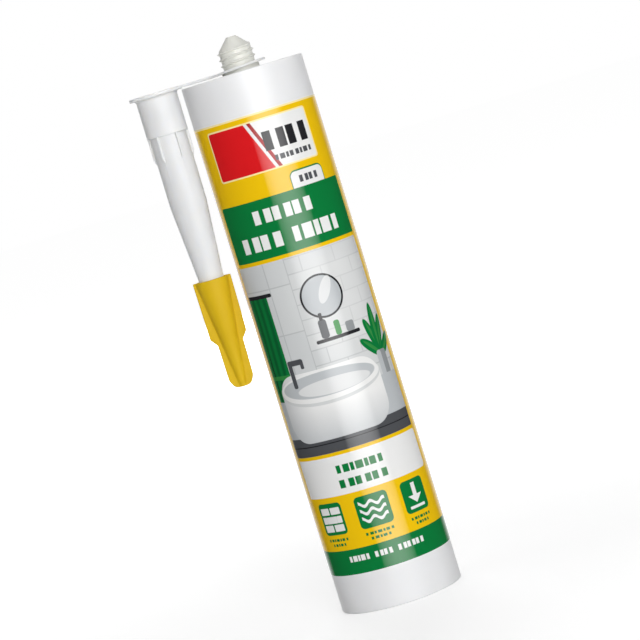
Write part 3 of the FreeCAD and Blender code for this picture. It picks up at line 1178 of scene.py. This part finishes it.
@dataclass
class Nozzle(Hanging):
    """The tapered nozzle with its skirt, fins, flange, and the strap and ring that hang it on the neck."""

    wall: float = 1.15
    body: float = 7.4
    skirt: float = 8.35
    skirt_end: float = 17.1
    socket: float = 7.3
    socket_depth: float = 14.0
    socket_crest: float = 6.58
    body_end: float = 45.3
    shoulder: float = 4.94
    shoulder_depth: float = 78.0
    length: float = 112.0
    tip: float = 1.75
    tip_bore: float = 0.95
    flange: float = 10.75
    flange_thickness: float = 1.4
    fin_thickness: float = 0.9
    fin_end: float = 29.1
    fin_slope: float = 3.4
    fin_count: int = 6
    fin_turn: float = 3.0
    strap_bend: float = 25.317
    strap_thickness: float = 1.1
    ring_reach: float = 9.6
    ring: float = 10.4
    ring_hole: float = 7.95
    ring_thickness: float = 0.95
    ring_tilt: float = 3.7
    segments: int = 128

    def build(self) -> bpy.types.Object:
        """Models the nozzle."""
        passage = self.body - self.wall
        nozzle = turned("nozzle_tube", [
            Corner(self.socket, 0.0, 0.3),
            Corner(self.flange, 0.0, 0.5),
            Corner(self.flange, self.flange_thickness, 0.5),
            Corner(self.skirt, self.flange_thickness, 1.2),
            Corner(self.skirt, self.skirt_end, 0.25),
            Corner(self.body, self.skirt_end, 0.2),
            Corner(self.body, self.body_end, 60.0),
            Corner(self.shoulder, self.shoulder_depth, 60.0),
            Corner(self.tip, self.length, 0.35),
            Corner(self.tip_bore, self.length, 0.25),
            Corner(self.shoulder - self.wall, self.shoulder_depth),
            Corner(passage, self.body_end),
            Corner(passage, self.socket_depth, 0.3),
            Corner(self.socket, self.socket_depth, 0.3),
        ], self.segments, hollow=True)
        thread = Thread(self.socket + 0.3, self.socket_crest, 2.5, 2.4, 3)
        fused(nozzle, self.build_fins(), self.build_strap(), self.build_ring(), thread.build("socket_thread"))
        finish = MouldedPlastic(
            "natural_plastic", tint(235, 235, 235), tint(228, 229, 229), roughness=0.42, subsurface=0.4,
            grain_height=0.00002, gloss=0.35)
        nozzle.visible_glossy = False
        return self.deliver(nozzle, finish.material(), Body.NOZZLE, Slot.NATURAL, ["nozzle"], self.matrix())

    def build_fins(self) -> bpy.types.Object:
        """Models one fin and copies it round the nozzle."""
        start = self.skirt_end - 1.0
        root = self.body - self.wall / 2
        fin = added(
            "fin", bpy.ops.mesh.primitive_cube_add, size=1,
            location=((root + self.skirt - 0.05) / 2, 0, (start + self.fin_end) / 2),
            scale=(self.skirt - 0.05 - root, self.fin_thickness, self.fin_end - start),
        )
        with Bench(fin) as bench:
            bench.pick(lambda place: place.z > self.fin_end - 0.01 and place.x > self.body)
            bench.move((0, 0, -self.fin_slope))
        changed(fin, "BEVEL", width=0.2, segments=2, limit_method="ANGLE", angle_limit=math.radians(25))
        fins = [fin]
        for number in range(self.fin_count):
            if number:
                choose(fin)
                bpy.ops.object.duplicate(linked=False)
                fins.append(bpy.context.view_layer.objects.active)
        for number, copy in enumerate(fins):
            angle = math.radians(self.fin_turn + 360 / self.fin_count * number)
            placed(copy, Matrix.Rotation(angle, 4, "Z"))
        choose(*fins)
        bpy.ops.object.join()
        return bpy.context.view_layer.objects.active

    def build_strap(self) -> bpy.types.Object:
        """Models the strap, which widens into the flange and the ring."""
        rise = math.tan(math.radians(self.ring_tilt))
        stations = [
            (7.9, 5.6, 0.03, 1.1), (9.5, 5.1, 0.03, 1.1), (10.3, 4.25, 0.02, 1.1), (11.2, 3.55, 0.01, 1.1),
            (12.5, 3.1, 0.0, 1.1), (14.5, 3.0, 0.0, 1.1), (21.0, 3.0, 0.0, 1.1), (22.6, 3.1, 0.0, 1.1),
            (23.8, 3.5, -0.01, 1.05), (24.6, 4.1, 0.0, 0.97), (25.4, 4.9, 0.05, 0.88), (26.2, 5.2, -rise + 0.06, 0.82),
        ]
        across, half_width, top, bottom = stations[0]
        strap = added(
            "strap", bpy.ops.mesh.primitive_plane_add, size=1, location=(across, 0, (top + bottom) / 2),
            rotation=(0, math.radians(90), 0),
        )
        with Bench(strap) as bench:
            bench.resize((1, half_width * 2, bottom - top), (across, 0, (top + bottom) / 2))
            for (x0, w0, t0, b0), (x1, w1, t1, b1) in pairwise(stations):
                middle = (t1 + b1) / 2
                bench.extrude((x1 - x0, 0, middle - (t0 + b0) / 2))
                bench.resize((1, w1 / w0, (b1 - t1) / (b0 - t0)), (x1, 0, middle))
            bench.weld()
        changed(strap, "BEVEL", width=0.22, segments=3, limit_method="ANGLE", angle_limit=math.radians(60))
        return strap

    def build_ring(self) -> bpy.types.Object:
        """Models the ring that lies round the collar."""
        ring = turned("ring", [
            Corner(self.ring_hole, 0.0, 0.25),
            Corner(self.ring, 0.0, 0.3),
            Corner(self.ring, self.ring_thickness, 0.3),
            Corner(self.ring_hole, self.ring_thickness, 0.25),
        ], self.segments, hollow=True)
        tilt = Matrix.Rotation(math.radians(self.ring_tilt), 4, "Y")
        bend = Matrix.Translation((self.strap_bend, 0, 0))
        placed(ring, bend @ tilt @ Matrix.Translation((self.ring_reach, 0, 0)))
        return ring


@dataclass
class Cap(Hanging):
    """The cap on the nozzle's tip: a hollow cone with a flat grip wing on each side."""

    mouth: float = 76.6
    mouth_radius: float = 6.7
    waist: float = 102.7
    waist_radius: float = 3.5
    end: float = 120.9
    end_radius: float = 1.6
    wing_half_thickness: float = 0.9
    wing_rounding: float = 0.4
    root_fillet: float = 0.7
    cavity_mouth: float = 5.07
    cavity_tip: float = 1.87
    cavity_taper_end: float = 112.0
    cavity_end: float = 112.5
    wing_outline: tuple[Corner, ...] = (
        Corner(7.75, 76.6), Corner(7.45, 99.8, 1.4), Corner(5.2, 102.7, 1.2), Corner(4.95, 117.5, 2.4),
        Corner(3.7, 120.0, 1.0), Corner(2.25, 120.9),
    )
    rim_rounding: float = 0.35

    def radius_at(self, depth: float) -> float:
        """The cone's outer radius at a depth."""
        if depth < self.waist:
            share = (depth - self.mouth) / (self.waist - self.mouth)
            return self.mouth_radius + share * (self.waist_radius - self.mouth_radius)
        share = (depth - self.waist) / (self.end - self.waist)
        return self.waist_radius + share * (self.end_radius - self.waist_radius)

    def outline(self, depth: float, half_width: float, shrink: float = 0.0) -> list[Point]:
        """The cap's outline across its axis at one depth.

        Args:
            depth: How deep the outline is.
            half_width: How far the wings reach there.
            shrink: How far the outline is drawn in, near a rounded end.

        Returns:
            The points of the outline.
        """
        radius = self.radius_at(depth) - shrink
        half = self.wing_half_thickness - shrink
        reach = half_width - shrink
        soft = min(self.wing_rounding, half * 0.9)
        fillet = min(self.root_fillet, max(0.12, (reach - soft - radius) * 0.8))
        centre = math.sqrt((radius + fillet) ** 2 - (half + fillet) ** 2)
        quarter = [(reach, 0.0)]
        for step in range(4):
            angle = math.radians(step * 30)
            quarter.append((reach - soft + soft * math.cos(angle), half - soft + soft * math.sin(angle)))
        flat_end = min(centre, reach - soft - 0.02)
        quarter.append(((reach - soft + flat_end) / 2, half))
        turn = math.asin(centre / (radius + fillet))
        for step in range(5):
            angle = -math.pi / 2 - turn * step / 4
            quarter.append((centre + fillet * math.cos(angle), half + fillet + fillet * math.sin(angle)))
        start = math.pi / 2 - turn
        for step in range(1, 13):
            angle = start + turn * step / 12
            quarter.append((radius * math.cos(angle), radius * math.sin(angle)))
        upper = quarter + [(-x, y) for x, y in quarter[-2::-1]]
        return upper + [(x, -y) for x, y in upper[-2:0:-1]]

    def build(self) -> bpy.types.Object:
        """Models the cap."""
        wings = [(depth, half_width) for half_width, depth in rounded(self.wing_outline, closed=False)]
        stations = [(self.mouth, wings[0][1], self.rim_rounding)]
        stations += [(self.mouth + self.rim_rounding * 0.3, wings[0][1], self.rim_rounding * 0.3)]
        stations += [(self.mouth + self.rim_rounding, wings[0][1], 0.0)]
        stations += [(depth, half_width, 0.0) for depth, half_width in wings[2:-1]]
        stations += [(self.end - self.rim_rounding * 0.4, wings[-1][1], self.rim_rounding * 0.3)]
        stations += [(self.end, wings[-1][1], self.rim_rounding)]
        count = len(self.outline(self.mouth, wings[0][1]))
        cap = added(
            "tip_cap", bpy.ops.mesh.primitive_circle_add, vertices=count, radius=self.cavity_tip,
            location=(0, 0, self.cavity_end), fill_type="NGON",
        )
        cavity = [
            (self.cavity_tip, self.cavity_taper_end),
            (self.cavity_mouth, self.mouth + self.rim_rounding),
            (self.cavity_mouth + self.rim_rounding * 0.3, self.mouth + self.rim_rounding * 0.3),
            (self.cavity_mouth + self.rim_rounding, self.mouth),
        ]
        with Bench(cap) as bench:
            radius, height = self.cavity_tip, self.cavity_end
            for next_radius, next_height in cavity:
                bench.extrude((0, 0, next_height - height))
                bench.resize((next_radius / radius, next_radius / radius, 1), (0, 0, next_height))
                radius, height = next_radius, next_height
            for depth, half_width, shrink in stations:
                bench.extrude()
                bench.fit_loop(self.outline(depth, half_width, shrink), depth)
            bench.weld()
        finish = MouldedPlastic(
            "yellow_plastic", tint(221, 185, 22), tint(210, 172, 16), roughness=0.58, subsurface=0.12,
            grain_height=0.00002, gloss=0.2)
        cap.visible_glossy = False
        return self.deliver(cap, finish.material(), Body.CAP, Slot.YELLOW, ["nozzle_cap"], self.matrix())


# The studio

@dataclass
class Studio:
    """A plain white studio: floor, world, soft lamps, and the camera at the photograph's place."""

    camera_place: Triple = (0.0, -1.158, 0.2113)
    camera_aim: Triple = (0.0008, 0.0, 0.1141)
    lens: float = 165.1
    sensor: float = 36.0
    roll_degrees: float = 17.1
    ambient: float = 0.22
    dim_reflection: float = 0.03
    backdrop_edge: float = 0.72
    backdrop_core: float = 0.94
    floor_size: float = 12.0
    near_floor: float = 100.0
    far_floor: float = 900.0
    near_glow: float = 0.43
    far_glow: float = 0.84

    def build(self) -> None:
        """Makes the studio."""
        self.build_world()
        self.build_floor()
        self.build_camera()
        self.build_lamp("softbox", (15.4, 1.0, 0.15), (1.26, 1.5), 25.0, diffuse=False, edge=0.16)
        self.build_lamp("key", (10.0, 1.5, 0.4), (0.7, 0.9), 15.2, glossy=False)
        self.build_lamp("side_key", (38.0, 1.5, 0.3), (0.5, 0.9), 2.6, glossy=False)
        self.build_lamp("left_rim", (-97.0, 1.2, 0.2), (0.5, 0.8), 2.0, glossy=False)
        self.build_lamp("right_rim", (97.0, 1.2, 0.2), (0.5, 0.8), 1.0, glossy=False)
        self.build_lamp("back_fill", (180.0, 1.6, 0.5), (0.9, 0.9), 18.0, glossy=False)
        self.build_lamp("top_fill", (0.0, 0.02, 1.5), (0.8, 0.8), 4.5, glossy=False)

    def build_world(self) -> None:
        """Makes the world white to the camera, and in reflections where the backdrop is, behind the object."""
        world = bpy.data.worlds.new("studio_world")
        bpy.context.scene.world = world
        graph = Graph(world)
        ahead = graph.node("ShaderNodeSeparateXYZ", inputs={0: graph.node("ShaderNodeTexCoord").outputs["Generated"]})
        behind = Value(graph, ahead.outputs["Y"])
        span = self.backdrop_core - self.backdrop_edge
        backdrop = behind.above((self.backdrop_core + self.backdrop_edge) / 2, span)
        reflected = backdrop * (1 - self.dim_reflection) + self.dim_reflection
        seen = graph.ray("Camera", "Transmission")
        strength = seen * (1 - self.ambient) + graph.ray("Glossy") * (reflected - self.ambient) + self.ambient
        background = graph.tree.nodes["Background"]
        graph.feed(background.inputs["Color"], (1.0, 1.0, 1.0))
        graph.feed(background.inputs["Strength"], strength)

    def build_floor(self) -> None:
        """Makes the pale floor, which keeps a faint shadow."""
        floor = added("floor", bpy.ops.mesh.primitive_plane_add, size=self.floor_size, location=(0, 0, 0))
        paint = Paint("floor", specular_ior_level=0.0)
        grain = paint.noise(30.0)
        across, deep, _ = paint.millimetres()
        reach = (across * across + deep * deep).math("SQRT")
        far = reach.above((self.near_floor + self.far_floor) / 2, self.far_floor - self.near_floor)
        level = paint.mixed((self.near_glow,) * 3, (self.far_glow,) * 3, far)
        glow = paint.mixed((0.0, 0.0, 0.0), level, paint.ray("Camera", "Glossy", "Transmission"))
        paint.feed(paint.shader.inputs["Emission Color"], glow)
        paint.feed(paint.shader.inputs["Emission Strength"], 1.0)
        floor.data.materials.append(paint.finished((0.68, 0.68, 0.68), grain * 0.1 + 0.85))
        floor.visible_glossy = False

    def build_camera(self) -> None:
        """Puts the camera at the photograph's angle, rolled as it was."""
        place, aim = Vector(self.camera_place), Vector(self.camera_aim)
        ahead = (aim - place).normalized()
        right = ahead.cross(Vector((0, 0, 1))).normalized()
        up = right.cross(ahead)
        roll = math.radians(self.roll_degrees)
        turned_right = right * math.cos(roll) - up * math.sin(roll)
        turned_up = right * math.sin(roll) + up * math.cos(roll)
        rotation = Matrix((turned_right, turned_up, -ahead)).transposed()
        data = bpy.data.cameras.new("camera")
        data.sensor_fit = "HORIZONTAL"
        data.sensor_width = self.sensor
        data.lens = self.lens
        data.clip_start = 0.05
        camera = bpy.data.objects.new("camera", data)
        camera.matrix_world = Matrix.Translation(place) @ rotation.to_4x4()
        bpy.context.scene.collection.objects.link(camera)
        bpy.context.scene.camera = camera

    def build_lamp(self, name: str, place: Triple, size: Point, power: float, diffuse: bool = True,
                   glossy: bool = True, edge: float = 1.0) -> None:
        """Makes a soft lamp that the camera doesn't see.

        Args:
            name: The lamp's name.
            place: Its angle to the camera's right in degrees, its distance and its height in metres.
            size: Its width and height in metres.
            power: Its power in watts.
            diffuse: Whether it lights matt surfaces.
            glossy: Whether it shows in reflections.
            edge: How bright its sides are beside its middle.
        """
        angle, distance, height = math.radians(place[0]), place[1], place[2]
        data = bpy.data.lights.new(name, "AREA")
        data.shape = "RECTANGLE"
        data.size, data.size_y = size
        data.energy = power
        if edge < 1.0:
            graph = Graph(data)
            spread = graph.node("ShaderNodeNewGeometry").outputs["Parametric"]
            across = Value(graph, graph.node("ShaderNodeSeparateXYZ", inputs={0: spread}).outputs["X"])
            off_middle = across * 2.0 - 1.0
            glow = 1.0 - off_middle * off_middle * (1.0 - edge)
            graph.feed(graph.tree.nodes["Emission"].inputs["Strength"], glow)
        lamp = bpy.data.objects.new(name, data)
        spot = Vector((math.sin(angle) * distance, -math.cos(angle) * distance, height))
        target = Vector((0, 0, 0.11))
        lamp.location = spot
        lamp.rotation_euler = (target - spot).to_track_quat("-Z", "Y").to_euler()
        lamp.visible_camera = False
        lamp.visible_diffuse = diffuse
        lamp.visible_glossy = glossy
        lamp.visible_transmission = False
        bpy.context.scene.collection.objects.link(lamp)


def main() -> None:
    """Builds the pieces in order, then the studio."""
    logging.basicConfig(level=logging.INFO, format="%(name)s: %(message)s")
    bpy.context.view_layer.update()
    bpy.context.scene.view_settings.view_transform = "Standard"
    Barrel().build()
    Film().build()
    filling = Filling()
    filling.build_piston()
    filling.build_paste()
    Nozzle().build()
    Cap().build()
    Studio().build()


if __name__ == "__main__":
    main()
